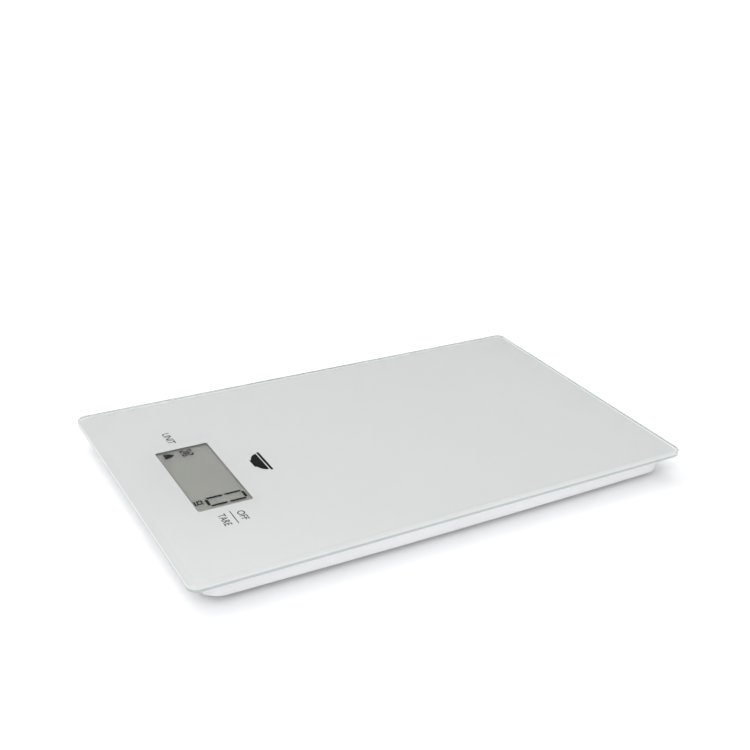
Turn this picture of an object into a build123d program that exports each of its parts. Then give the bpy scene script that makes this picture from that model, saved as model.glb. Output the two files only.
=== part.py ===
from build123d import *

import os

# Slim glass kitchen scale: four load cells on rubber feet, a display under the glass, a coin cell.
# Millimetres. +Z is up and Z = 0 is the table. The origin is the middle of the footprint. The user
# stands at -Y, so front is -Y, left is -X, and the display reads along +X.

# ---- glass platform ----
PLATE_WIDTH = 138.0
PLATE_LENGTH = 230.0
PLATE_CORNER = 4.0
GLASS_THICKNESS = 3.0
TOP_ARRIS = 0.6
BOTTOM_ARRIS = 0.4
TOTAL_HEIGHT = 13.0
GLASS_BOTTOM = TOTAL_HEIGHT - GLASS_THICKNESS

PRINT_THICKNESS = 0.12
PRINT_INSET = 1.0
PRINT_BOTTOM = GLASS_BOTTOM - PRINT_THICKNESS
WINDOW_WIDTH = 48.6
WINDOW_LENGTH = 23.0
WINDOW_CORNER = 1.0
WINDOW_X = -1.4
WINDOW_Y = -82.4

TAPE_THICKNESS = 0.48
TAPE_INSET = 1.5
TAPE_OPENING_WIDTH = 112.0
TAPE_OPENING_LENGTH = 207.0
TAPE_OPENING_CORNER = 6.0

# ---- housing ----
# Half sizes of the rim where its bowed sides stand furthest out, at mid length and mid width.
RIM_HALF_WIDTH = 67.4
RIM_HALF_LENGTH = 109.7
SIDE_BOW = 1.15
END_BOW = 0.5
RIM_CORNER = 9.3
RIM_TOP = PRINT_BOTTOM - TAPE_THICKNESS
UNDERSIDE = 2.8  # the housing's underside over the table
DRAFT_INSET = 0.9  # how far the underside stands in from the rim
UNDERSIDE_ROUND = 0.8
REBATE_INSET = 2.2
CAVITY_INSET = 3.4
DECK_THICKNESS = 1.4
DECK_BOTTOM = RIM_TOP - DECK_THICKNESS
RIB_HEIGHT = 1.6
RIB_WIDTH = 1.2
DECK_RIB_X = 30.0
DECK_RIB_LENGTH = 104.0
DECK_RIB_Y = 46.0
DECK_CROSS_RIBS_Y = (25.0, 60.0, 95.0)

COVER_THICKNESS = 1.4
COVER_TOP = UNDERSIDE + COVER_THICKNESS
COVER_BOSS_TOP = COVER_TOP + 0.8
COVER_BOSS_RADIUS = 3.0
COVER_GAP = 0.15
COVER_RIB_HEIGHT = 1.0
COVER_RIB_WIDTH = 1.0
COVER_RIB_X = 24.0
COVER_RIB_LENGTH = 84.0
COVER_RIB_Y = 52.0
COVER_CROSS_RIBS_Y = (30.0, 60.0, 90.0)

# ---- screws: one family for the cover, a smaller one for the board and the load cells ----
COVER_SCREW_RADIUS = 1.1
COVER_HEAD_RADIUS = 1.9
COVER_HEAD_HEIGHT = 0.95
COUNTERBORE_RADIUS = 2.1
COUNTERBORE_DEPTH = 1.1
COVER_SCREW_BOSS = 2.6
SMALL_SCREW_RADIUS = 1.0
SMALL_HEAD_RADIUS = 1.85
SMALL_HEAD_HEIGHT = 0.7
SMALL_SCREW_BOSS = 2.4
SMALL_SCREW_HOLE = 1.12
THREAD_GAP = 0.02  # between a screw and its pilot hole
SCREW_TIP_ROOM = 0.2
PILOT_SKIN = 0.6  # deck left over a small screw's pilot hole
RECESS_DEPTH = 0.55  # cross recess, as a share of the head's height
RECESS_LENGTH = 1.2
RECESS_WIDTH = 0.3

COVER_SCREW_PLACES = [(x, y) for x in (-57.5, 57.5) for y in (-101.5, 101.5)]
COVER_SCREW_PLACES += [(-60.0, 0.0), (60.0, 0.0), (0.0, 102.0), (0.0, 8.0)]

# ---- display, from the top down ----
LCD_WIDTH = 52.0
LCD_FRONT_LENGTH = 30.5
LCD_REAR_LENGTH = 27.0
LCD_LEDGE = LCD_FRONT_LENGTH - LCD_REAR_LENGTH
LCD_FRONT_Y = WINDOW_Y - LCD_LEDGE / 2
LCD_FRONT_TOP = 9.55
LCD_PANE = 0.55
LCD_PANE_CHAMFER = 0.4
LCD_REAR_TOP = LCD_FRONT_TOP - LCD_PANE
POLARISER_WIDTH = 50.0
POLARISER_LENGTH = 25.4
POLARISER_THICKNESS = 0.2
REFLECTOR_TOP = LCD_REAR_TOP - LCD_PANE
REFLECTOR_BOTTOM = REFLECTOR_TOP - POLARISER_THICKNESS
REFLECTOR_MARGIN = 0.3
LCD_OPENING_GAP = 0.3
LCD_HOLDER_WALL = 1.4
LCD_HOLDER_WINDOW = (49.0, 22.0)
SEAL_WALL = 1.5
SEAL_GAP = 0.7
ZEBRA_WIDTH = 1.8
ZEBRA_LENGTH = 48.0
ZEBRA_GAP = 0.3
ZEBRA_Y = WINDOW_Y - LCD_REAR_LENGTH / 2 - LCD_LEDGE / 2

# ---- circuit board ----
BOARD_WIDTH = 76.0
BOARD_LENGTH = 42.0
BOARD_CORNER = 2.0
BOARD_Y = -83.0
BOARD_BOTTOM = 5.4
BOARD_TOP = 6.4
BOARD_SCREW_PLACES = [(x, BOARD_Y + y) for x in (-35.5, 35.5) for y in (-18.5, 18.5)]
BOARD_EDGE_PADS_Y = -65.0
BLOB_RADIUS = 5.5
BLOB_HEIGHT = 0.8
CHIP_BANK_X = 18.0
CHIP_SIZE = (2.0, 1.25, 0.6)
CHIP_PITCH = (4.0, 5.0)
CHIP_ROWS = (2, 4)
CRYSTAL_SIZE = (7.0, 3.0, 0.9)
CRYSTAL_Y = BOARD_Y + 12
TOUCH_X = 33.9
TOUCH_Y = -84.5
TOUCH_COIL_RADIUS = 3.4
TOUCH_COIL_TURNS = 4
TOUCH_WIRE_RADIUS = 0.22
TOUCH_OPENING_RADIUS = 5.2

# ---- load cells and feet ----
FOOT_X = 50.0
FOOT_Y = 84.0
CELL_BOTTOM = 6.0
CELL_TOP = 7.0
CELL_WIDTH = 22.0
CELL_LENGTH = 28.0
CELL_CORNER = 3.0
CELL_SCREW_X = 8.5
CELL_SCREW_Y = 11.5
CELL_SLOT = 1.4
TONGUE_WIDTH = 9.0
TONGUE_TIP = 8.5  # from the foot's axis to the tongue's free end
TONGUE_ROOT = 6.5  # from the foot's axis to the tongue's root
GAUGE_OFFSET = 6.8
GAUGE_WIDTH = 5.0
GAUGE_LENGTH = 4.0
GAUGE_TOP = CELL_TOP + 0.1
RIVET_RADIUS = 1.5
RIVET_GAP = 0.05
RIVET_HEAD_RADIUS = 2.6
RIVET_HEAD_HEIGHT = 0.35
RIVET_BOTTOM = 2.7
CUP_RADIUS = 10.5
CUP_BOTTOM = 1.2
CUP_TOP = 4.6
CUP_ROUND = 0.8
CUP_HUB_RADIUS = 3.2
CUP_HOLE_GAP = 0.5
COLLAR_WIDTH = 1.2
PAD_RADIUS = 8.5
PAD_TOP = 2.2
PAD_ROUND = 0.7
PAD_GAP = 0.05
PAD_GROOVE = (5.2, 4.2, 0.5)  # outer radius, inner radius, depth

# ---- coin cell, its pocket and its contacts ----
COIN_RADIUS = 10.0
COIN_HEIGHT = 3.2
COIN_BOTTOM = 4.2
COIN_TOP = COIN_BOTTOM + COIN_HEIGHT
COIN_ROUND = 0.5
COIN_LID_RADIUS = 8.6
COIN_LID_STEP = 0.35
COIN_Y = -28.0
POCKET_RADIUS = 10.35
POCKET_WIDTH = 32.0
POCKET_FRONT = -42.5
POCKET_REAR = -14.0
POCKET_ROOF = 8.0
POCKET_TOP = 9.2
POCKET_CORNER = 1.0
POCKET_DECK_GAP = 0.5
POCKET_LENGTH = POCKET_REAR - POCKET_FRONT
POCKET_Y = (POCKET_REAR + POCKET_FRONT) / 2
CONTACT_THICKNESS = 0.3
CONTACT_TAIL_WIDTH = 2.2
CONTACT_TAIL_END = POCKET_FRONT - 1.0
CONTACT_PAD_WIDTH = 10.0
CONTACT_PAD_LENGTH = 6.0
CONTACT_PAD_Y = COIN_Y + 2
CONTACT_DIMPLE_RADIUS = 1.0
CONTACT_DIMPLE_X = 2.5
SIDE_STRIP_WIDTH = 6.5
SIDE_STRIP_BOTTOM = 4.6
SIDE_STRIP_TOP = 7.1
TAIL_SLOT_WIDTH = 2.6
TAIL_SLOT_LENGTH = 6.0
LEAD_X = 4.0
LEAD_Z = 7.5
LEAD_RADIUS = 0.45

# ---- battery door ----
DOOR_HALF_WIDTH = 13.0
DOOR_FREE_EDGE = -15.6
DOOR_TOP = 4.0
DOOR_AXIS_Y = -40.0
DOOR_AXIS_Z = 3.9
DOOR_KNUCKLE = DOOR_AXIS_Z - UNDERSIDE
DOOR_GAP = 0.2
DOOR_END_GAP = 0.3
HINGE_PIN_RADIUS = 0.6
HINGE_PIN_LENGTH = 1.4
HINGE_CLEARANCE = 0.05
LATCH_HALF_WIDTH = 4.0
LATCH_ROOT = -20.0
LATCH_NOSE = -14.7
LATCH_NOSE_BOTTOM = UNDERSIDE + 0.6
LATCH_NOSE_TIP = UNDERSIDE + 0.8
LATCH_TOP = UNDERSIDE + 1.2
CATCH_TOP = UNDERSIDE + 0.5
GRIP_RIDGES = 4
GRIP_PITCH = 1.6
GRIP_RIDGE_WIDTH = 0.7
GRIP_RIDGE_LENGTH = 10.0
GRIP_RIDGE_HEIGHT = 0.3

# ---- wiring ----
WIRE_RADIUS = 0.4
WIRE_PITCH = 1.2
WIRE_BEND = 5.0
LEAD_BEND = 6.0
WIRE_Z = GAUGE_TOP + WIRE_RADIUS
HARNESS_CROSSING_Y = -53.2
HARNESS_IN_X = 26.0
JOINT_BASE_RADIUS = 0.55
JOINT_TIP_RADIUS = 0.3
TIE_THICKNESS = 0.1
TIE_LENGTH = 10.0
TIE_HALF_WIDTH = 2.5
TIE_FLANGE = 2.5
TIE_PLACES_Y = (-20.0, 25.0)

os.makedirs("parts", exist_ok=True)


def save(builder, name):
    # labels a finished piece and writes its file
    builder.part.label = name
    export_step(builder.part, f"parts/{name}.step")


def rim_outline(height, inset):
    # the housing's bowed outline at a height, moved inwards by inset
    half_width = RIM_HALF_WIDTH - inset
    half_length = RIM_HALF_LENGTH - inset
    corner_x = half_width - SIDE_BOW
    corner_y = half_length - END_BOW
    with BuildSketch(Plane.XY.offset(height)) as outline:
        with BuildLine():
            ThreePointArc((corner_x, -corner_y), (half_width, 0), (corner_x, corner_y))
            ThreePointArc((corner_x, corner_y), (0, half_length), (-corner_x, corner_y))
            ThreePointArc((-corner_x, corner_y), (-half_width, 0), (-corner_x, -corner_y))
            ThreePointArc((-corner_x, -corner_y), (0, -half_length), (corner_x, -corner_y))
        make_face()
        fillet(outline.vertices(), RIM_CORNER - inset)
    return outline.sketch


def slab(width, length, centre, bottom, top, corner=0.0, mode=Mode.ADD):
    # a flat rectangular slab between two heights
    with BuildSketch(Plane.XY.offset(bottom)) as outline:
        with Locations(centre):
            if corner:
                RectangleRounded(width, length, corner)
            else:
                Rectangle(width, length)
    extrude(outline.sketch, amount=top - bottom, mode=mode)


def discs(places, radius, bottom, top, mode=Mode.ADD):
    # a round disc between two heights at each place
    with BuildSketch(Plane.XY.offset(bottom)) as outline:
        with Locations(*places):
            Circle(radius)
    extrude(outline.sketch, amount=top - bottom, mode=mode)


def screws(places, head_radius, head_height, seat, shank_radius, tip):
    # pan-head screws that point up, with a cross recess in each head
    head_bottom = seat - head_height
    discs(places, head_radius, head_bottom, seat)
    discs(places, shank_radius, seat, tip)
    with BuildSketch(Plane.XY.offset(head_bottom)) as cross:
        with Locations(*places):
            Rectangle(RECESS_LENGTH * head_radius, RECESS_WIDTH * head_radius)
            Rectangle(RECESS_WIDTH * head_radius, RECESS_LENGTH * head_radius)
    extrude(cross.sketch, amount=RECESS_DEPTH * head_height, mode=Mode.SUBTRACT)


def wire(points, radius, bend):
    # one round wire along straight runs joined by tangent arcs
    with BuildLine() as route:
        FilletPolyline(*points, radius=bend)
    with BuildSketch(Plane(origin=route.line @ 0, z_dir=route.line % 0)) as section:
        Circle(radius)
    sweep(section.sketch, path=route.line)


def pin_bar(radius, half_length, mode=Mode.ADD):
    # a round bar on the battery door's hinge line
    with BuildSketch(Plane.YZ) as section:
        with Locations((DOOR_AXIS_Y, DOOR_AXIS_Z)):
            Circle(radius)
    extrude(section.sketch, amount=half_length, both=True, mode=mode)


def cell_screw_places(x, y):
    # the four screw holes of the load cell over the foot at (x, y)
    offsets = [(dx, dy) for dx in (-CELL_SCREW_X, CELL_SCREW_X) for dy in (-CELL_SCREW_Y, CELL_SCREW_Y)]
    return [(x + dx, y + dy) for dx, dy in offsets]


# Each corner's name, foot centre, outward direction along X, and direction to its tongue's root along Y.
CORNERS = [
    ("front_left", -FOOT_X, -FOOT_Y, -1, 1),
    ("front_right", FOOT_X, -FOOT_Y, 1, 1),
    ("rear_left", -FOOT_X, FOOT_Y, -1, -1),
    ("rear_right", FOOT_X, FOOT_Y, 1, -1),
]
FOOT_PLACES = [(x, y) for _, x, y, _, _ in CORNERS]
CELL_SCREW_PLACES = [place for x, y in FOOT_PLACES for place in cell_screw_places(x, y)]

# ---- weighing platform ----
with BuildPart() as top_glass:
    slab(PLATE_WIDTH, PLATE_LENGTH, (0, 0), GLASS_BOTTOM, TOTAL_HEIGHT, PLATE_CORNER)
    chamfer(top_glass.faces().sort_by(Axis.Z)[-1].edges(), TOP_ARRIS)
    chamfer(top_glass.faces().sort_by(Axis.Z)[0].edges(), BOTTOM_ARRIS)
save(top_glass, "top_glass")

with BuildPart() as back_print:
    print_size = (PLATE_WIDTH - 2 * PRINT_INSET, PLATE_LENGTH - 2 * PRINT_INSET)
    slab(*print_size, (0, 0), PRINT_BOTTOM, GLASS_BOTTOM, PLATE_CORNER - PRINT_INSET)
    window = (WINDOW_WIDTH, WINDOW_LENGTH, (WINDOW_X, WINDOW_Y))
    slab(*window, PRINT_BOTTOM, GLASS_BOTTOM, WINDOW_CORNER, mode=Mode.SUBTRACT)
save(back_print, "back_print")

with BuildPart() as glass_tape:
    extrude(rim_outline(RIM_TOP, TAPE_INSET), amount=TAPE_THICKNESS)
    opening = (TAPE_OPENING_WIDTH, TAPE_OPENING_LENGTH, (0, 0))
    slab(*opening, RIM_TOP, PRINT_BOTTOM, TAPE_OPENING_CORNER, mode=Mode.SUBTRACT)
save(glass_tape, "glass_tape")

with BuildPart() as lcd_dust_seal:
    seal_centre = (WINDOW_X, LCD_FRONT_Y)
    seal_width = LCD_WIDTH + 2 * SEAL_GAP
    seal_length = LCD_FRONT_LENGTH + 2 * SEAL_GAP
    seal_outer = (seal_width + 2 * SEAL_WALL, seal_length + 2 * SEAL_WALL)
    slab(*seal_outer, seal_centre, RIM_TOP, PRINT_BOTTOM, SEAL_WALL)
    slab(seal_width, seal_length, seal_centre, RIM_TOP, PRINT_BOTTOM, SEAL_GAP, mode=Mode.SUBTRACT)
save(lcd_dust_seal, "lcd_dust_seal")

# ---- housing ----
with BuildPart() as upper_shell:
    loft([rim_outline(UNDERSIDE, DRAFT_INSET), rim_outline(RIM_TOP, 0)], ruled=True)
    fillet(upper_shell.faces().sort_by(Axis.Z)[0].edges(), UNDERSIDE_ROUND)
    extrude(rim_outline(UNDERSIDE, REBATE_INSET), amount=COVER_THICKNESS, mode=Mode.SUBTRACT)
    cavity_height = DECK_BOTTOM - COVER_TOP
    extrude(rim_outline(COVER_TOP, CAVITY_INSET), amount=cavity_height, mode=Mode.SUBTRACT)
    # stiffening ribs under the deck
    rib_bottom = DECK_BOTTOM - RIB_HEIGHT
    for rib_x in (-DECK_RIB_X, DECK_RIB_X):
        slab(RIB_WIDTH, DECK_RIB_LENGTH, (rib_x, DECK_RIB_Y), rib_bottom, DECK_BOTTOM)
    for rib_y in DECK_CROSS_RIBS_Y:
        slab(2 * DECK_RIB_X, RIB_WIDTH, (0, rib_y), rib_bottom, DECK_BOTTOM)
    # bosses for the cover, the board and the load cells, and their pilot holes
    discs(COVER_SCREW_PLACES, COVER_SCREW_BOSS, COVER_BOSS_TOP, DECK_BOTTOM)
    discs(BOARD_SCREW_PLACES, SMALL_SCREW_BOSS, BOARD_TOP, DECK_BOTTOM)
    discs(CELL_SCREW_PLACES, SMALL_SCREW_BOSS, CELL_TOP, DECK_BOTTOM)
    cover_pilot = COVER_SCREW_RADIUS + THREAD_GAP
    discs(COVER_SCREW_PLACES, cover_pilot, COVER_BOSS_TOP, DECK_BOTTOM, mode=Mode.SUBTRACT)
    small_pilot = SMALL_SCREW_RADIUS + THREAD_GAP
    pilot_top = RIM_TOP - PILOT_SKIN
    discs(BOARD_SCREW_PLACES, small_pilot, BOARD_TOP, pilot_top, mode=Mode.SUBTRACT)
    discs(CELL_SCREW_PLACES, small_pilot, CELL_TOP, pilot_top, mode=Mode.SUBTRACT)
    # openings for the display, the touch springs and the coin cell's pocket
    lcd_opening = (LCD_WIDTH + 2 * LCD_OPENING_GAP, LCD_FRONT_LENGTH + 2 * LCD_OPENING_GAP)
    slab(*lcd_opening, (WINDOW_X, LCD_FRONT_Y), DECK_BOTTOM, RIM_TOP, WINDOW_CORNER, mode=Mode.SUBTRACT)
    touch_places = [(-TOUCH_X, TOUCH_Y), (TOUCH_X, TOUCH_Y)]
    discs(touch_places, TOUCH_OPENING_RADIUS, DECK_BOTTOM, RIM_TOP, mode=Mode.SUBTRACT)
    pocket_opening = (POCKET_WIDTH + 2 * POCKET_DECK_GAP, POCKET_LENGTH + 2 * POCKET_DECK_GAP)
    slab(*pocket_opening, (0, POCKET_Y), DECK_BOTTOM, RIM_TOP, POCKET_CORNER, mode=Mode.SUBTRACT)
save(upper_shell, "upper_shell")

with BuildPart() as base_cover:
    extrude(rim_outline(UNDERSIDE, REBATE_INSET + COVER_GAP), amount=COVER_THICKNESS)
    # ribs, screw bosses and the collars round the feet
    rib_top = COVER_TOP + COVER_RIB_HEIGHT
    for rib_x in (-COVER_RIB_X, COVER_RIB_X):
        slab(COVER_RIB_WIDTH, COVER_RIB_LENGTH, (rib_x, COVER_RIB_Y), COVER_TOP, rib_top)
    for rib_y in COVER_CROSS_RIBS_Y:
        slab(2 * COVER_RIB_X, COVER_RIB_WIDTH, (0, rib_y), COVER_TOP, rib_top)
    foot_hole = CUP_RADIUS + CUP_HOLE_GAP
    discs(COVER_SCREW_PLACES, COVER_BOSS_RADIUS, COVER_TOP, COVER_BOSS_TOP)
    discs(FOOT_PLACES, foot_hole + COLLAR_WIDTH, COVER_TOP, COVER_BOSS_TOP)
    discs(FOOT_PLACES, foot_hole, UNDERSIDE, COVER_BOSS_TOP, mode=Mode.SUBTRACT)
    # counterbored screw holes
    counterbore_top = UNDERSIDE + COUNTERBORE_DEPTH
    screw_hole = COVER_SCREW_RADIUS + 5 * THREAD_GAP
    discs(COVER_SCREW_PLACES, COUNTERBORE_RADIUS, UNDERSIDE, counterbore_top, mode=Mode.SUBTRACT)
    discs(COVER_SCREW_PLACES, screw_hole, UNDERSIDE, COVER_BOSS_TOP, mode=Mode.SUBTRACT)
    # the coin cell's pocket
    slab(POCKET_WIDTH, POCKET_LENGTH, (0, POCKET_Y), COVER_TOP, POCKET_TOP, POCKET_CORNER)
    discs([(0, COIN_Y)], POCKET_RADIUS, UNDERSIDE, POCKET_ROOF, mode=Mode.SUBTRACT)
    # the door's opening, the room over its knuckle, and the bearings of its hinge pins
    opening_rear = DOOR_FREE_EDGE + DOOR_END_GAP
    knuckle_room = DOOR_KNUCKLE + DOOR_GAP
    opening_front = DOOR_AXIS_Y - knuckle_room
    opening_width = 2 * (DOOR_HALF_WIDTH + DOOR_GAP)
    opening_centre = (0, (opening_rear + opening_front) / 2)
    opening_length = opening_rear - opening_front
    slab(opening_width, opening_length, opening_centre, UNDERSIDE, COVER_TOP, mode=Mode.SUBTRACT)
    room_top = DOOR_AXIS_Z + knuckle_room
    room_length = 2 * knuckle_room
    slab(opening_width, room_length, (0, DOOR_AXIS_Y), COVER_TOP, room_top, mode=Mode.SUBTRACT)
    bearing_reach = DOOR_HALF_WIDTH + HINGE_PIN_LENGTH + DOOR_GAP
    pin_bar(HINGE_PIN_RADIUS + HINGE_CLEARANCE, bearing_reach, mode=Mode.SUBTRACT)
    # the room behind the catch, for the latch's nose
    nose_room = LATCH_NOSE + DOOR_END_GAP
    nose_width = 2 * (LATCH_HALF_WIDTH + DOOR_END_GAP)
    nose_centre = (0, (nose_room + opening_rear) / 2)
    slab(nose_width, nose_room - opening_rear, nose_centre, CATCH_TOP, COVER_TOP, mode=Mode.SUBTRACT)
    # slots that let the contacts' tails out of the pocket
    slot_bottom = SIDE_STRIP_TOP - THREAD_GAP
    for slot_x in (-LEAD_X, LEAD_X):
        slot = (TAIL_SLOT_WIDTH, TAIL_SLOT_LENGTH, (slot_x, POCKET_FRONT + TAIL_SLOT_LENGTH / 2))
        slab(*slot, slot_bottom, POCKET_ROOF, mode=Mode.SUBTRACT)
save(base_cover, "base_cover")

with BuildPart() as cover_screws:
    cover_screw_tip = DECK_BOTTOM - SCREW_TIP_ROOM
    screws(
        COVER_SCREW_PLACES,
        COVER_HEAD_RADIUS,
        COVER_HEAD_HEIGHT,
        UNDERSIDE + COUNTERBORE_DEPTH,
        COVER_SCREW_RADIUS,
        cover_screw_tip,
    )
save(cover_screws, "cover_screws")

# ---- display ----
with BuildPart() as lcd_front_polariser:
    polariser_top = LCD_FRONT_TOP + POLARISER_THICKNESS
    slab(POLARISER_WIDTH, POLARISER_LENGTH, (WINDOW_X, WINDOW_Y), LCD_FRONT_TOP, polariser_top)
save(lcd_front_polariser, "lcd_front_polariser")

with BuildPart() as lcd_front_glass:
    slab(LCD_WIDTH, LCD_FRONT_LENGTH, (WINDOW_X, LCD_FRONT_Y), LCD_REAR_TOP, LCD_FRONT_TOP)
    chamfer(lcd_front_glass.edges().filter_by(Axis.Z), LCD_PANE_CHAMFER)
save(lcd_front_glass, "lcd_front_glass")

with BuildPart() as lcd_rear_glass:
    slab(LCD_WIDTH, LCD_REAR_LENGTH, (WINDOW_X, WINDOW_Y), REFLECTOR_TOP, LCD_REAR_TOP)
    chamfer(lcd_rear_glass.edges().filter_by(Axis.Z), LCD_PANE_CHAMFER)
save(lcd_rear_glass, "lcd_rear_glass")

with BuildPart() as lcd_reflector:
    reflector_size = (LCD_WIDTH - 2 * REFLECTOR_MARGIN, LCD_REAR_LENGTH - 2 * REFLECTOR_MARGIN)
    slab(*reflector_size, (WINDOW_X, WINDOW_Y), REFLECTOR_BOTTOM, REFLECTOR_TOP)
save(lcd_reflector, "lcd_reflector")

with BuildPart() as zebra_strip:
    slab(ZEBRA_LENGTH, ZEBRA_WIDTH, (WINDOW_X, ZEBRA_Y), BOARD_TOP, LCD_REAR_TOP)
save(zebra_strip, "zebra_strip")

with BuildPart() as lcd_holder:
    holder_outer = (LCD_WIDTH + 2 * LCD_HOLDER_WALL, LCD_FRONT_LENGTH + 2 * LCD_HOLDER_WALL)
    slab(*holder_outer, (WINDOW_X, LCD_FRONT_Y), BOARD_TOP, DECK_BOTTOM, WINDOW_CORNER)
    # The raised seat stands in the deck's opening and carries the panes.
    slab(LCD_WIDTH, LCD_FRONT_LENGTH, (WINDOW_X, LCD_FRONT_Y), BOARD_TOP, REFLECTOR_BOTTOM)
    slab(*LCD_HOLDER_WINDOW, (WINDOW_X, WINDOW_Y), BOARD_TOP, REFLECTOR_BOTTOM, mode=Mode.SUBTRACT)
    zebra_slot = (ZEBRA_LENGTH + 2 * ZEBRA_GAP, ZEBRA_WIDTH + 2 * ZEBRA_GAP)
    slab(*zebra_slot, (WINDOW_X, ZEBRA_Y), BOARD_TOP, REFLECTOR_BOTTOM, mode=Mode.SUBTRACT)
save(lcd_holder, "lcd_holder")

# ---- circuit board and what is on it ----
with BuildPart() as circuit_board:
    slab(BOARD_WIDTH, BOARD_LENGTH, (0, BOARD_Y), BOARD_BOTTOM, BOARD_TOP, BOARD_CORNER)
    discs(BOARD_SCREW_PLACES, SMALL_SCREW_HOLE, BOARD_BOTTOM, BOARD_TOP, mode=Mode.SUBTRACT)
save(circuit_board, "circuit_board")

with BuildPart() as board_screws:
    screws(
        BOARD_SCREW_PLACES,
        SMALL_HEAD_RADIUS,
        SMALL_HEAD_HEIGHT,
        BOARD_BOTTOM,
        SMALL_SCREW_RADIUS,
        pilot_top - SCREW_TIP_ROOM,
    )
save(board_screws, "board_screws")

with BuildPart() as controller_blob:
    with BuildSketch(Plane.XZ.offset(-BOARD_Y)):
        with BuildLine():
            Line((BLOB_RADIUS, BOARD_BOTTOM), (0, BOARD_BOTTOM))
            Line((0, BOARD_BOTTOM), (0, BOARD_BOTTOM - BLOB_HEIGHT))
            shoulder = (0.6 * BLOB_RADIUS, BOARD_BOTTOM - 0.68 * BLOB_HEIGHT)
            ThreePointArc((0, BOARD_BOTTOM - BLOB_HEIGHT), shoulder, (BLOB_RADIUS, BOARD_BOTTOM))
        make_face()
    revolve(axis=Axis((0, BOARD_Y, 0), (0, 0, 1)))
save(controller_blob, "controller_blob")

with BuildPart() as board_chips:
    under_board = (Align.CENTER, Align.CENTER, Align.MAX)
    with Locations((-CHIP_BANK_X, BOARD_Y, BOARD_BOTTOM), (CHIP_BANK_X, BOARD_Y, BOARD_BOTTOM)):
        with GridLocations(*CHIP_PITCH, *CHIP_ROWS):
            Box(*CHIP_SIZE, align=under_board)
    with Locations((0, CRYSTAL_Y, BOARD_BOTTOM)):
        Box(*CRYSTAL_SIZE, align=under_board)
save(board_chips, "board_chips")

for key, key_x in (("unit", -TOUCH_X), ("tare", TOUCH_X)):
    with BuildPart() as touch_spring:
        coil_bottom = BOARD_TOP + TOUCH_WIRE_RADIUS
        coil_height = PRINT_BOTTOM - BOARD_TOP - 2 * TOUCH_WIRE_RADIUS
        with BuildLine(Plane((key_x, TOUCH_Y, coil_bottom))) as coil:
            Helix(coil_height / TOUCH_COIL_TURNS, coil_height, TOUCH_COIL_RADIUS)
        with BuildSketch(Plane(origin=coil.line @ 0, z_dir=coil.line % 0)):
            Circle(TOUCH_WIRE_RADIUS)
        sweep(is_frenet=True)
    save(touch_spring, f"touch_spring_{key}")

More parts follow.
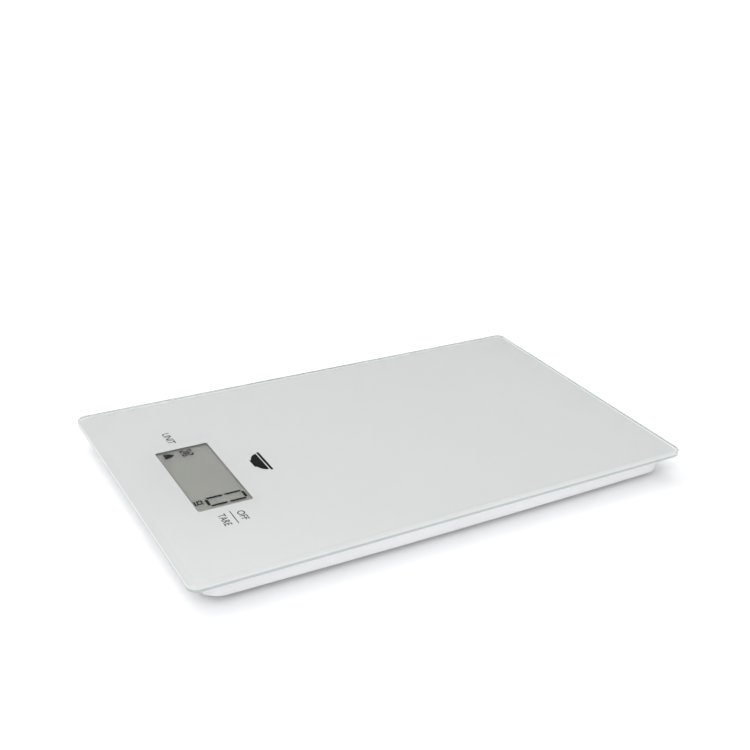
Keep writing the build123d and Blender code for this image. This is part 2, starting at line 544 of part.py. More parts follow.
# ---- load cells, strain gauges, harnesses and feet ----
wire_ends = []
for corner, x, y, outward, root in CORNERS:
    gauge_y = y + root * GAUGE_OFFSET

    with BuildPart() as load_cell:
        slab(CELL_WIDTH, CELL_LENGTH, (x, y), CELL_BOTTOM, CELL_TOP, CELL_CORNER)
        tongue_y = y + root * (TONGUE_ROOT - TONGUE_TIP) / 2
        tongue_length = TONGUE_TIP + TONGUE_ROOT
        slot_centre = (x, tongue_y - root * CELL_SLOT / 2)
        slot_size = (TONGUE_WIDTH + 2 * CELL_SLOT, tongue_length + CELL_SLOT)
        slab(*slot_size, slot_centre, CELL_BOTTOM, CELL_TOP, mode=Mode.SUBTRACT)
        slab(TONGUE_WIDTH, tongue_length, (x, tongue_y), CELL_BOTTOM, CELL_TOP)
        discs([(x, y)], RIVET_RADIUS + RIVET_GAP, CELL_BOTTOM, CELL_TOP, mode=Mode.SUBTRACT)
        own_screws = cell_screw_places(x, y)
        discs(own_screws, SMALL_SCREW_HOLE, CELL_BOTTOM, CELL_TOP, mode=Mode.SUBTRACT)
    save(load_cell, f"load_cell_{corner}")

    with BuildPart() as strain_gauge:
        slab(GAUGE_WIDTH, GAUGE_LENGTH, (x, gauge_y), CELL_TOP, GAUGE_TOP, BOARD_CORNER / 4)
    save(strain_gauge, f"strain_gauge_{corner}")

    with BuildPart() as harness:
        for lane in (-WIRE_PITCH, 0, WIRE_PITCH):
            if y < 0:  # a short jog in to the board's side edge
                route = [
                    (x - outward * 1.5, gauge_y + lane, WIRE_Z),
                    (x - outward * 6.0, gauge_y + lane, WIRE_Z),
                    (x - outward * 9.0, gauge_y + lane - 0.6, WIRE_Z),
                    (x - outward * 15.0, gauge_y + lane - 0.6, WIRE_Z),
                ]
            else:  # along the side of the housing, then in to the board's rear edge
                lane_x = x + outward * lane
                lane_y = HARNESS_CROSSING_Y - lane
                board_x = outward * (HARNESS_IN_X + lane)
                route = [
                    (lane_x, gauge_y, WIRE_Z),
                    (lane_x, lane_y, WIRE_Z),
                    (board_x, lane_y, WIRE_Z),
                    (board_x, BOARD_EDGE_PADS_Y, WIRE_Z),
                ]
            wire(route, WIRE_RADIUS, WIRE_BEND)
            wire_ends.append((route[-1][0], route[-1][1], BOARD_TOP))
    save(harness, f"harness_{corner}")

    with BuildPart() as foot_cup:
        discs([(x, y)], CUP_RADIUS, CUP_BOTTOM, CUP_TOP)
        fillet(foot_cup.edges().sort_by(Axis.Z)[0], CUP_ROUND)
        discs([(x, y)], CUP_HUB_RADIUS, CUP_TOP, CELL_BOTTOM)
        discs([(x, y)], PAD_RADIUS + PAD_GAP, CUP_BOTTOM, PAD_TOP, mode=Mode.SUBTRACT)
        rivet_floor = RIVET_BOTTOM - RIVET_GAP
        discs([(x, y)], RIVET_RADIUS + THREAD_GAP, rivet_floor, CELL_BOTTOM, mode=Mode.SUBTRACT)
    save(foot_cup, f"foot_cup_{corner}")

    with BuildPart() as foot_pad:
        groove_outer, groove_inner, groove_depth = PAD_GROOVE
        discs([(x, y)], PAD_RADIUS, 0, PAD_TOP)
        fillet(foot_pad.edges().sort_by(Axis.Z)[0], PAD_ROUND)
        discs([(x, y)], groove_outer, 0, groove_depth, mode=Mode.SUBTRACT)
        discs([(x, y)], groove_inner, 0, groove_depth)
    save(foot_pad, f"foot_pad_{corner}")

    with BuildPart() as foot_rivet:
        discs([(x, y)], RIVET_RADIUS, RIVET_BOTTOM, CELL_TOP)
        discs([(x, y)], RIVET_HEAD_RADIUS, CELL_TOP, CELL_TOP + RIVET_HEAD_HEIGHT)
    save(foot_rivet, f"foot_rivet_{corner}")

with BuildPart() as load_cell_screws:
    screws(
        CELL_SCREW_PLACES,
        SMALL_HEAD_RADIUS,
        SMALL_HEAD_HEIGHT,
        CELL_BOTTOM,
        SMALL_SCREW_RADIUS,
        pilot_top - SCREW_TIP_ROOM,
    )
save(load_cell_screws, "load_cell_screws")

# strips of tape that hold the rear harnesses up against the deck
with BuildPart() as wire_tapes:
    strip_top = WIRE_Z - WIRE_RADIUS
    strip_bottom = strip_top - TIE_THICKNESS
    flange_bottom = DECK_BOTTOM - TIE_THICKNESS
    for tape_x in (-FOOT_X, FOOT_X):
        for tape_y in TIE_PLACES_Y:
            slab(2 * TIE_HALF_WIDTH, TIE_LENGTH, (tape_x, tape_y), strip_bottom, strip_top)
            for tape_side in (-1, 1):
                wall_x = tape_x + tape_side * (TIE_HALF_WIDTH - TIE_THICKNESS / 2)
                slab(TIE_THICKNESS, TIE_LENGTH, (wall_x, tape_y), strip_bottom, DECK_BOTTOM)
                flange_x = tape_x + tape_side * (TIE_HALF_WIDTH + TIE_FLANGE / 2 - TIE_THICKNESS)
                slab(TIE_FLANGE, TIE_LENGTH, (flange_x, tape_y), flange_bottom, DECK_BOTTOM)
save(wire_tapes, "wire_tapes")

# ---- coin cell, contacts and leads ----
with BuildPart() as coin_cell:
    discs([(0, COIN_Y)], COIN_RADIUS, COIN_BOTTOM, COIN_TOP - COIN_LID_STEP)
    fillet(coin_cell.edges().group_by(Axis.Z)[0], COIN_ROUND)
    discs([(0, COIN_Y)], COIN_LID_RADIUS, COIN_TOP - COIN_LID_STEP, COIN_TOP)
save(coin_cell, "coin_cell")

with BuildPart() as negative_contact:
    contact_bottom = POCKET_ROOF - CONTACT_THICKNESS
    tail_length = CONTACT_PAD_Y - CONTACT_TAIL_END
    tail_centre = (LEAD_X, (CONTACT_PAD_Y + CONTACT_TAIL_END) / 2)
    slab(CONTACT_TAIL_WIDTH, tail_length, tail_centre, contact_bottom, POCKET_ROOF)
    pad_size = (CONTACT_PAD_WIDTH, CONTACT_PAD_LENGTH, (0, CONTACT_PAD_Y))
    slab(*pad_size, contact_bottom, POCKET_ROOF, POCKET_CORNER)
    dimples = [(-CONTACT_DIMPLE_X, CONTACT_PAD_Y), (CONTACT_DIMPLE_X, CONTACT_PAD_Y)]
    discs(dimples, CONTACT_DIMPLE_RADIUS, COIN_TOP, contact_bottom)
save(negative_contact, "negative_contact")

with BuildPart() as positive_contact:
    # a strip round part of the coin cell's side, with a tail out of the pocket
    with BuildSketch(Plane.XY.offset(SIDE_STRIP_BOTTOM)):
        with Locations((0, COIN_Y)):
            Circle(COIN_RADIUS + CONTACT_THICKNESS)
            Circle(COIN_RADIUS, mode=Mode.SUBTRACT)
        with Locations((-LEAD_X, COIN_Y - COIN_RADIUS)):
            Rectangle(SIDE_STRIP_WIDTH, COIN_RADIUS, mode=Mode.INTERSECT)
    extrude(amount=SIDE_STRIP_TOP - SIDE_STRIP_BOTTOM)
    tail_root = COIN_Y - COIN_RADIUS + 1
    tail_size = (CONTACT_TAIL_WIDTH, tail_root - CONTACT_TAIL_END)
    tail_centre = (-LEAD_X, (tail_root + CONTACT_TAIL_END) / 2)
    slab(*tail_size, tail_centre, SIDE_STRIP_TOP, SIDE_STRIP_TOP + CONTACT_THICKNESS)
save(positive_contact, "positive_contact")

for polarity, lead_side in (("positive", -1), ("negative", 1)):
    with BuildPart() as battery_lead:
        near_x = lead_side * LEAD_X
        far_x = lead_side * (LEAD_X + 4)
        route = [
            (near_x, CONTACT_TAIL_END, LEAD_Z),
            (near_x, CONTACT_TAIL_END - 6, LEAD_Z),
            (far_x, CONTACT_TAIL_END - 14, LEAD_Z),
            (far_x, BOARD_EDGE_PADS_Y, LEAD_Z),
        ]
        wire(route, LEAD_RADIUS, LEAD_BEND)
        wire_ends.append((far_x, BOARD_EDGE_PADS_Y, BOARD_TOP))
    save(battery_lead, f"battery_lead_{polarity}")

with BuildPart() as solder_joints:
    joint_height = LEAD_Z - LEAD_RADIUS - BOARD_TOP
    standing = (Align.CENTER, Align.CENTER, Align.MIN)
    with Locations(*wire_ends):
        Cone(JOINT_BASE_RADIUS, JOINT_TIP_RADIUS, joint_height, align=standing)
save(solder_joints, "solder_joints")

# ---- battery door ----
with BuildPart() as battery_door:
    door_size = (2 * DOOR_HALF_WIDTH, DOOR_FREE_EDGE - DOOR_AXIS_Y)
    slab(*door_size, (0, (DOOR_FREE_EDGE + DOOR_AXIS_Y) / 2), UNDERSIDE, DOOR_TOP)
    pin_bar(DOOR_KNUCKLE, DOOR_HALF_WIDTH)
    pin_bar(HINGE_PIN_RADIUS, DOOR_HALF_WIDTH + HINGE_PIN_LENGTH)
    # notch for the latch, and grip ridges
    notch_size = (2 * (LATCH_HALF_WIDTH + 2 * DOOR_GAP), DOOR_FREE_EDGE - LATCH_ROOT)
    notch_centre = (0, (DOOR_FREE_EDGE + LATCH_ROOT) / 2)
    slab(*notch_size, notch_centre, UNDERSIDE, DOOR_TOP, mode=Mode.SUBTRACT)
    for ridge in range(GRIP_RIDGES):
        ridge_centre = (0, LATCH_ROOT - 2 - GRIP_PITCH * ridge)
        ridge_bottom = UNDERSIDE - GRIP_RIDGE_HEIGHT
        slab(GRIP_RIDGE_LENGTH, GRIP_RIDGE_WIDTH, ridge_centre, ridge_bottom, UNDERSIDE)
save(battery_door, "battery_door")

with BuildPart() as door_latch:
    with BuildSketch(Plane.YZ):
        with BuildLine():
            Polyline(
                (LATCH_ROOT, UNDERSIDE),
                (DOOR_FREE_EDGE, UNDERSIDE),
                (DOOR_FREE_EDGE, LATCH_NOSE_BOTTOM),
                (LATCH_NOSE, LATCH_NOSE_BOTTOM),
                (LATCH_NOSE, LATCH_NOSE_TIP),
                (DOOR_FREE_EDGE, LATCH_TOP),
                (LATCH_ROOT, LATCH_TOP),
                close=True,
            )
        make_face()
    extrude(amount=LATCH_HALF_WIDTH, both=True)
save(door_latch, "door_latch")
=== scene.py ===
import math

import bpy
from mathutils import Matrix, Vector


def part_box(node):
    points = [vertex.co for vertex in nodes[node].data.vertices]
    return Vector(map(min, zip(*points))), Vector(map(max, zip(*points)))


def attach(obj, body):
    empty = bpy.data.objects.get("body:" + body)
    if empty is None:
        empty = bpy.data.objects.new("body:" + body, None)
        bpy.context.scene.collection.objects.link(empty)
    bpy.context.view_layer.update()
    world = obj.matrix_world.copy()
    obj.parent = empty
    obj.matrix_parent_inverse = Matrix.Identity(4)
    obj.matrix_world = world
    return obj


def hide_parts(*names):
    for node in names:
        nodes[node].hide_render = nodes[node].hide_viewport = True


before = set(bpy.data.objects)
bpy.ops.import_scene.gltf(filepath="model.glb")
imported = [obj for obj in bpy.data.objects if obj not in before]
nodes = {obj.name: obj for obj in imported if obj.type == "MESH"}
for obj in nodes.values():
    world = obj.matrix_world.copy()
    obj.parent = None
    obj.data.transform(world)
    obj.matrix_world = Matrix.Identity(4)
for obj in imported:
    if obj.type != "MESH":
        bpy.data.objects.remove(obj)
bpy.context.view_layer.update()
mm = 0.001
print("packed model loaded,", len(nodes), "nodes")


def startFresh():
    # nothing selected and nothing active, so an operator only touches what comes next
    if bpy.context.object and bpy.context.object.mode != "OBJECT":
        bpy.ops.object.mode_set(mode="OBJECT")
    bpy.ops.object.select_all(action="DESELECT")


def addBlock(name, centre, size):
    # a cube at its size and place, in millimetres
    startFresh()
    bpy.ops.mesh.primitive_cube_add(size=mm, location=[c * mm for c in centre])
    piece = bpy.context.object
    piece.name = name
    piece.scale = size
    bpy.ops.object.transform_apply(location=True, rotation=True, scale=True)
    return piece


def addDisc(name, centre, radius, height, sides=48):
    startFresh()
    bpy.ops.mesh.primitive_cylinder_add(vertices=sides, radius=radius * mm, depth=height * mm,
                                        location=[c * mm for c in centre])
    piece = bpy.context.object
    piece.name = name
    bpy.ops.object.transform_apply(location=True, rotation=True, scale=True)
    return piece


def pick(piece, kind, test):
    # selects the faces, edges or corners that pass the test and leaves the piece in edit mode
    bpy.ops.object.mode_set(mode="EDIT")
    bpy.ops.mesh.select_mode(type=kind)
    bpy.ops.mesh.select_all(action="DESELECT")
    bpy.ops.object.mode_set(mode="OBJECT")
    mesh = piece.data
    parts = {"FACE": mesh.polygons, "EDGE": mesh.edges, "VERT": mesh.vertices}[kind]
    for part in parts:
        part.select = bool(test(part, mesh))
    bpy.ops.object.mode_set(mode="EDIT")


def isUpright(edge, mesh):
    a, b = (mesh.vertices[i].co for i in edge.vertices)
    return abs(a.z - b.z) > 0.9 * (a - b).length


def edgeAt(height):
    # edges that lie flat at this height
    def test(edge, mesh):
        return all(abs(mesh.vertices[i].co.z - height * mm) < 0.001 * mm for i in edge.vertices)
    return test


def roundCorners(piece, radius, segments=8):
    pick(piece, "EDGE", isUpright)
    bpy.ops.mesh.bevel(offset=radius * mm, segments=segments, affect="EDGES")
    bpy.ops.object.mode_set(mode="OBJECT")


def softenTop(piece, height, width, segments=2):
    pick(piece, "EDGE", edgeAt(height))
    bpy.ops.mesh.bevel(offset=width * mm, segments=segments, affect="EDGES")
    bpy.ops.object.mode_set(mode="OBJECT")


def cutWith(piece, tool):
    # the tool's shape is taken out of the piece
    startFresh()
    piece.select_set(True)
    bpy.context.view_layer.objects.active = piece
    cut = piece.modifiers.new("cut", "BOOLEAN")
    cut.operation = "DIFFERENCE"
    cut.solver = "EXACT"
    cut.object = tool
    bpy.ops.object.modifier_apply(modifier="cut")
    bpy.data.objects.remove(tool)


def joinAll(pieces):
    startFresh()
    for piece in pieces:
        piece.select_set(True)
    bpy.context.view_layer.objects.active = pieces[0]
    bpy.ops.object.join()
    return bpy.context.object


def finishPiece(piece, finish, body="housing"):
    # the piece's place goes into its mesh, then it gets its finish and rides on its body
    startFresh()
    piece.select_set(True)
    bpy.context.view_layer.objects.active = piece
    bpy.ops.object.transform_apply(location=True, rotation=True, scale=True)
    piece.data.materials.clear()
    piece.data.materials.append(finish)
    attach(piece, body)
    return piece


def dress(names, finish):
    # gives CAD nodes their finish through their own material slots
    for name in names:
        for place in nodes[name].material_slots:
            place.link = "OBJECT"
            place.material = finish


def newFinish(name):
    finish = bpy.data.materials.new(name)
    finish.use_nodes = True
    tree = finish.node_tree
    return finish, tree, tree.nodes["Principled BSDF"]


def addNode(tree, kind, settings):
    node = tree.nodes.new("ShaderNode" + kind)
    for key, value in settings.items():
        if hasattr(node, key):
            setattr(node, key, value)
        else:
            node.inputs[key].default_value = value
    return node


def patternSpace(tree, scale=(1, 1, 1)):
    # object coordinates in metres, drawn out along an axis by its scale
    place = addNode(tree, "TexCoord", {})
    mapping = addNode(tree, "Mapping", {"Scale": scale})
    tree.links.new(place.outputs["Object"], mapping.inputs["Vector"])
    return mapping.outputs["Vector"]


def addNoise(tree, space, scale, detail=3.0):
    noise = addNode(tree, "TexNoise", {"Scale": scale, "Detail": detail})
    tree.links.new(space, noise.inputs["Vector"])
    return noise.outputs["Fac"]


def addRange(tree, value, fromLow, fromHigh, low, high):
    node = addNode(tree, "MapRange", {"From Min": fromLow, "From Max": fromHigh,
                                      "To Min": low, "To Max": high})
    tree.links.new(value, node.inputs["Value"])
    return node.outputs["Result"]


def addMath(tree, operation, a, b):
    # one step of arithmetic; each side is a socket or a number
    node = addNode(tree, "Math", {"operation": operation})
    for i, side in enumerate((a, b)):
        if isinstance(side, (int, float)):
            node.inputs[i].default_value = side
        else:
            tree.links.new(side, node.inputs[i])
    return node.outputs[0]


def addBlend(tree, amount, colourA, colourB):
    node = addNode(tree, "Mix", {"data_type": "RGBA"})
    tree.links.new(amount, node.inputs[0])
    for socket, colour in ((node.inputs[6], colourA), (node.inputs[7], colourB)):
        if isinstance(colour, (tuple, list)):
            socket.default_value = (*colour, 1)
        else:
            tree.links.new(colour, socket)
    return node.outputs[2]


def addBump(tree, shader, height, strength, depth):
    bump = addNode(tree, "Bump", {"Strength": strength, "Distance": depth * mm})
    tree.links.new(height, bump.inputs["Height"])
    tree.links.new(bump.outputs["Normal"], shader.inputs["Normal"])


def edgeDistance(tree, space, half, radius):
    # how far outside a rounded outline a point is, in metres; inside it is less than nothing
    split = addNode(tree, "SeparateXYZ", {})
    tree.links.new(space, split.inputs[0])
    squares = []
    for axis, reach in zip("XY", half):
        over = addMath(tree, "SUBTRACT", addMath(tree, "ABSOLUTE", split.outputs[axis], 0.0), reach - radius)
        over = addMath(tree, "MAXIMUM", over, 0.0)
        squares.append(addMath(tree, "MULTIPLY", over, over))
    away = addMath(tree, "POWER", addMath(tree, "ADD", squares[0], squares[1]), 0.5)
    return addMath(tree, "SUBTRACT", away, radius), split.outputs["Z"]


def surfaceFinish(name, look):
    # two close colours in a cloudy pattern, uneven gloss and a fine grain
    finish, tree, shader = newFinish(name)
    space = patternSpace(tree, look.get("stretch", (1, 1, 1)))
    cloud = addNoise(tree, space, look.get("cloudScale", 60))
    tree.links.new(addBlend(tree, addRange(tree, cloud, 0.35, 0.65, 0, 1), look["colour"], look["second"]),
                   shader.inputs["Base Color"])
    grain = addNoise(tree, space, look["grainScale"], 2.0)
    low, high = look["gloss"]
    tree.links.new(addRange(tree, grain, 0.3, 0.7, low, high), shader.inputs["Roughness"])
    addBump(tree, shader, grain, look.get("grainStrength", 0.2), look.get("grainDepth", 0.05))
    shader.inputs["Metallic"].default_value = look.get("metal", 0.0)
    shader.inputs["IOR"].default_value = look.get("ior", 1.5)
    shader.inputs["Specular IOR Level"].default_value = look.get("specular", 0.5)
    return finish


cameraSet = {
    "azimuth": 58.871,      # round from the front, in degrees
    "elevation": 25.724,
    "roll": 3.176,
    "distance": 0.54011,    # from the aim point
    "aim": (-0.05216, 0.02764, 0.013),
    "lens": 53.015,
}


def addCamera():
    turn = Matrix.Rotation(math.radians(cameraSet["azimuth"]), 4, "Z")
    tilt = Matrix.Rotation(math.radians(90 - cameraSet["elevation"]), 4, "X")
    roll = Matrix.Rotation(math.radians(cameraSet["roll"]), 4, "Z")
    facing = turn @ tilt @ roll
    place = Vector(cameraSet["aim"]) + facing @ Vector((0, 0, cameraSet["distance"]))
    startFresh()
    bpy.ops.object.camera_add()
    camera = bpy.context.object
    camera.name = "camera"
    camera.matrix_world = Matrix.Translation(place) @ facing
    camera.data.lens = cameraSet["lens"]
    camera.data.clip_start = 0.01
    bpy.context.scene.camera = camera


studioSet = {
    "ring": 0.63,           # brightness of the dome at mid height
    "zenith": 0.165,         # straight above
    "horizonBand": 0.11,    # and near the horizon, which the glass mirrors
    "under": 0.3,
    "backdrop": (0.95, 0.95, 0.955),
    "suns": (               # strength, degrees across, height above the horizon, round from the front
        ("keyLight", 1.46, 60, 48, 60),
        ("sideLight", 1.2, 50, 32, -55),
        ("backLight", 0.92, 44, 64, -121),
    ),
    "boxPlace": (0.12, -0.25, 0.4),
    "boxAim": (0.0, -0.04, 0.0),
    "boxSize": 0.3,
    "boxPower": 0.2,
    "floorColour": (0.93, 0.93, 0.94),
    "floorSize": 60.0,
    "floorDrop": 0.02,      # below the feet, in millimetres
    "clearLayers": 24,      # lamps have to reach through every layer of the display
}


def addStudio():
    scene = bpy.context.scene
    scene.view_settings.view_transform = "Standard"
    scene.cycles.transparent_max_bounces = studioSet["clearLayers"]
    world = bpy.data.worlds.new("studio")
    world.use_nodes = True
    scene.world = world
    tree = world.node_tree
    place = addNode(tree, "TexCoord", {})
    split = addNode(tree, "SeparateXYZ", {})
    ramp = addNode(tree, "ValToRGB", {})
    stops = ramp.color_ramp.elements
    heights = ((0.0, "under"), (0.48, "under"), (0.5, "horizonBand"), (0.77, "horizonBand"), (0.8, "ring"),
               (0.88, "ring"), (1.0, "zenith"))
    while len(stops) < len(heights):
        stops.new(0.5)
    for stop, (height, level) in zip(stops, heights):
        stop.position = height
        stop.color = (*[studioSet[level]] * 3, 1)
    tree.links.new(place.outputs["Generated"], split.inputs[0])
    tree.links.new(addRange(tree, split.outputs["Z"], -1, 1, 0, 1), ramp.inputs[0])
    # the backdrop itself stays pale; the dome only lights the room and shows in reflections
    path = addNode(tree, "LightPath", {})
    backdrop = addBlend(tree, path.outputs["Is Camera Ray"], ramp.outputs["Color"], studioSet["backdrop"])
    tree.links.new(backdrop, tree.nodes["Background"].inputs["Color"])

    for name, strength, spread, height, azimuth in studioSet["suns"]:
        startFresh()
        turn = (math.radians(90 - height), 0, math.radians(azimuth))
        bpy.ops.object.light_add(type="SUN", rotation=turn)
        sun = bpy.context.object
        sun.name = name
        sun.data.energy = strength
        sun.data.angle = math.radians(spread)
        sun.visible_glossy = False       # no hard disc mirrored in the glass

    startFresh()
    place = Vector(studioSet["boxPlace"])
    turn = (Vector(studioSet["boxAim"]) - place).to_track_quat("-Z", "Y").to_euler()
    bpy.ops.object.light_add(type="AREA", location=place, rotation=turn)
    softbox = bpy.context.object
    softbox.name = "frontSoftbox"
    softbox.data.size = studioSet["boxSize"]
    softbox.data.energy = studioSet["boxPower"]

    startFresh()
    bpy.ops.mesh.primitive_plane_add(size=studioSet["floorSize"],
                                     location=(0, 0, -studioSet["floorDrop"] * mm))
    floor = bpy.context.object
    floor.name = "studio_floor"
    finish, tree, shader = newFinish("paleFloor")
    shader.inputs["Base Color"].default_value = (*studioSet["floorColour"], 1)
    shader.inputs["Roughness"].default_value = 0.9
    shader.inputs["Specular IOR Level"].default_value = 0.0
    # seen from below the floor is clear, so that the underside can be looked at
    clear = addNode(tree, "BsdfTransparent", {})
    side = addNode(tree, "NewGeometry", {})
    path = addNode(tree, "LightPath", {})
    mixer = addNode(tree, "MixShader", {})
    either = addMath(tree, "MAXIMUM", side.outputs["Backfacing"], path.outputs["Is Shadow Ray"])
    tree.links.new(either, mixer.inputs[0])
    tree.links.new(shader.outputs[0], mixer.inputs[1])
    tree.links.new(clear.outputs[0], mixer.inputs[2])
    tree.links.new(mixer.outputs[0], tree.nodes["Material Output"].inputs["Surface"])
    floor.data.materials.append(finish)


addCamera()
addStudio()
print("camera and studio set")


glassLook = {
    "tint": (0.99, 0.994, 0.993),
    "bodyTint": (0.55, 0.82, 0.78),   # what a long way through the glass turns to
    "bodyDensity": 5.0,
    "edgeShadeTint": (0.40, 0.50, 0.49),   # lower part of the sides: painted shade of the gap beneath, in the glass's own green
    "edgeTop": 11.4,                  # how high that part reaches
    "edgeBlend": 0.15,                # half the height over which it fades
    "edgeDepth": 0.5,                 # how far in from the outline it reaches
    "cornerRadius": 4.0,
    "ior": 1.52,
    "waveScale": 22.0,
    "shadowTint": (0.985, 0.99, 0.99),
}


def glassFinish(name, tint, edgeShadeTint=None, bodyDensity=0.0):
    finish, tree, shader = newFinish(name)
    space = patternSpace(tree)
    wave = addNoise(tree, space, glassLook["waveScale"], 1.0)
    clearPart = addBlend(tree, wave, tint, tuple(c * 0.985 for c in tint))
    if edgeShadeTint:
        # painted shade: near the outline the lower part of the ground sides is darkened, standing in for the
        # shadowed gap beneath the glass; the green in it is the glass's own
        out, height = edgeDistance(tree, space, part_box("top_glass")[1][:2], glassLook["cornerRadius"] * mm)
        depth, top, blend = (glassLook[key] * mm for key in ("edgeDepth", "edgeTop", "edgeBlend"))
        near = addRange(tree, out, -depth, -0.9 * depth, 0, 1)
        low = addRange(tree, height, top - blend, top + blend, 1, 0)
        clearPart = addBlend(tree, addMath(tree, "MULTIPLY", near, low), clearPart, edgeShadeTint)
    tree.links.new(clearPart, shader.inputs["Base Color"])
    shader.inputs["Roughness"].default_value = 0.0
    shader.inputs["IOR"].default_value = glassLook["ior"]
    shader.inputs["Transmission Weight"].default_value = 1.0
    addBump(tree, shader, wave, 0.02, 0.05)
    clear = addNode(tree, "BsdfTransparent", {"Color": (*glassLook["shadowTint"], 1)})
    path = addNode(tree, "LightPath", {})
    mixer = addNode(tree, "MixShader", {})
    output = tree.nodes["Material Output"]
    tree.links.new(path.outputs["Is Shadow Ray"], mixer.inputs[0])
    tree.links.new(shader.outputs[0], mixer.inputs[1])
    tree.links.new(clear.outputs[0], mixer.inputs[2])
    tree.links.new(mixer.outputs[0], output.inputs["Surface"])
    if bodyDensity:
        body = addNode(tree, "VolumeAbsorption", {"Color": (*glassLook["bodyTint"], 1),
                                                  "Density": bodyDensity})
        tree.links.new(body.outputs[0], output.inputs["Volume"])
    return finish


platformGlass = glassFinish("platformGlass", glassLook["tint"], glassLook["edgeShadeTint"],
                            glassLook["bodyDensity"])
dress(["top_glass"], platformGlass)
print("glass done")


printLook = {
    "cornerRadius": 3.0,
    "windowWidth": 49.4,
    "windowLength": 23.2,
    "windowCentre": (-1.1, -82.45),
    "windowRadius": 1.0,
    "colour": (0.662, 0.667, 0.663),
    "litBandColour": (0.676, 0.681, 0.677),    # painted light: the print is lighter in a band inside the edges
    "litBandWidth": 12.0,
    "rimColour": (0.615, 0.621, 0.618),      # painted shade: darker again in the outermost band, past the tape
    "rimWidth": 3.5,
    "cloudScale": 18.0,
    "grainScale": 2500.0,
    "gloss": (0.55, 0.7),
}
printLow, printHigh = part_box("back_print")
glassLow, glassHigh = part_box("top_glass")
inkHeight = glassLow.z / mm + 0.02      # the print's upper face, just inside the glass


def printFinish():
    finish, tree, shader = newFinish("whitePrint")
    space = patternSpace(tree)
    out = edgeDistance(tree, space, (printHigh.x, printHigh.y), printLook["cornerRadius"] * mm)[0]
    cloud = addRange(tree, addNoise(tree, space, printLook["cloudScale"], 4.0), 0.3, 0.7, 0, 1)
    colour = addBlend(tree, cloud, printLook["colour"], tuple(c * 0.988 for c in printLook["colour"]))
    # painted light and painted shade: a lighter band inside the edges, then a darker outermost rim
    for band in ("litBand", "rim"):
        width = printLook[band + "Width"] * mm
        reached = addRange(tree, out, -width * 1.3, -width * 0.7, 0, 1)
        colour = addBlend(tree, reached, colour, printLook[band + "Colour"])
    tree.links.new(colour, shader.inputs["Base Color"])
    grain = addNoise(tree, space, printLook["grainScale"], 2.0)
    tree.links.new(addRange(tree, grain, 0.3, 0.7, *printLook["gloss"]), shader.inputs["Roughness"])
    shader.inputs["Specular IOR Level"].default_value = 0.0
    addBump(tree, shader, grain, 0.1, 0.01)
    return finish


def makePrint():
    low, high = printLow / mm, printHigh / mm
    bottom, top = low.z, inkHeight
    sheet = addBlock("print_sheet", (0, 0, (bottom + top) / 2),
                     (high.x - low.x, high.y - low.y, top - bottom))
    roundCorners(sheet, printLook["cornerRadius"], 10)
    window = addBlock("window_tool", (*printLook["windowCentre"], (bottom + top) / 2),
                      (printLook["windowWidth"], printLook["windowLength"], 2.0))
    roundCorners(window, printLook["windowRadius"], 6)
    cutWith(sheet, window)
    finishPiece(sheet, printFinish())
    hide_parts("back_print")


makePrint()
print("print sheet done")


legendLook = {
    "thickness": 0.012,
    "ink": (0.008, 0.008, 0.009),
    "greyInk": (0.012, 0.0125, 0.0135),
    "words": (            # word, left, right, bottom, top
        ("UNIT", -40.4, -30.9, -85.9, -82.6),
        ("OFF", 29.3, 35.9, -80.9, -77.8),
        ("TARE", 28.5, 36.8, -88.5, -85.4),
    ),
    "lineSpan": (27.9, 37.2),
    "lineAt": -83.0,
    "lineWidth": 0.4,
}


def inkFinish(name, colour):
    # ink lies against glass, so it has no gloss of its own
    return surfaceFinish(name, {"colour": colour, "second": tuple(c * 1.25 for c in colour),
                                "cloudScale": 900, "grainScale": 3000, "gloss": (0.5, 0.7),
                                "grainStrength": 0.1, "grainDepth": 0.01, "specular": 0.0})


def addWord(name, word, left, right, bottom, top, base, thickness, slim=0.0):
    # a word drawn to fill a box, then made a mesh
    startFresh()
    bpy.ops.object.text_add()
    text = bpy.context.object
    text.name = name
    text.data.body = word
    text.data.extrude = 0.5
    text.data.offset = slim
    text.data.resolution_u = 6
    bpy.ops.object.convert(target="MESH")
    corners = [v.co for v in text.data.vertices]
    xs, ys = [c.x for c in corners], [c.y for c in corners]
    text.scale = ((right - left) * mm / (max(xs) - min(xs)), (top - bottom) * mm / (max(ys) - min(ys)),
                  thickness * mm)
    text.location = (left * mm - min(xs) * text.scale.x, bottom * mm - min(ys) * text.scale.y,
                     (base + thickness / 2) * mm)
    bpy.ops.object.transform_apply(location=True, rotation=True, scale=True)
    return text


def makeLegends():
    ink = inkFinish("greyPrintInk", legendLook["greyInk"])
    thick = legendLook["thickness"]
    for word, left, right, bottom, top in legendLook["words"]:
        piece = addWord("legend_" + word.lower(), word, left, right, bottom, top, inkHeight, thick, 0.01)
        finishPiece(piece, ink)
    left, right = legendLook["lineSpan"]
    line = addBlock("legend_line", ((left + right) / 2, legendLook["lineAt"], inkHeight + thick / 2),
                    (right - left, legendLook["lineWidth"], thick))
    roundCorners(line, legendLook["lineWidth"] * 0.3, 3)
    finishPiece(line, ink)


bowlLook = {
    "centre": (-1.3, -57.3),
    "width": 15.6,
    "height": 6.3,
    "rimThickness": 1.15,
    "footWidth": 6.0,
    "footHeight": 0.8,
    "gap": 0.45,
}


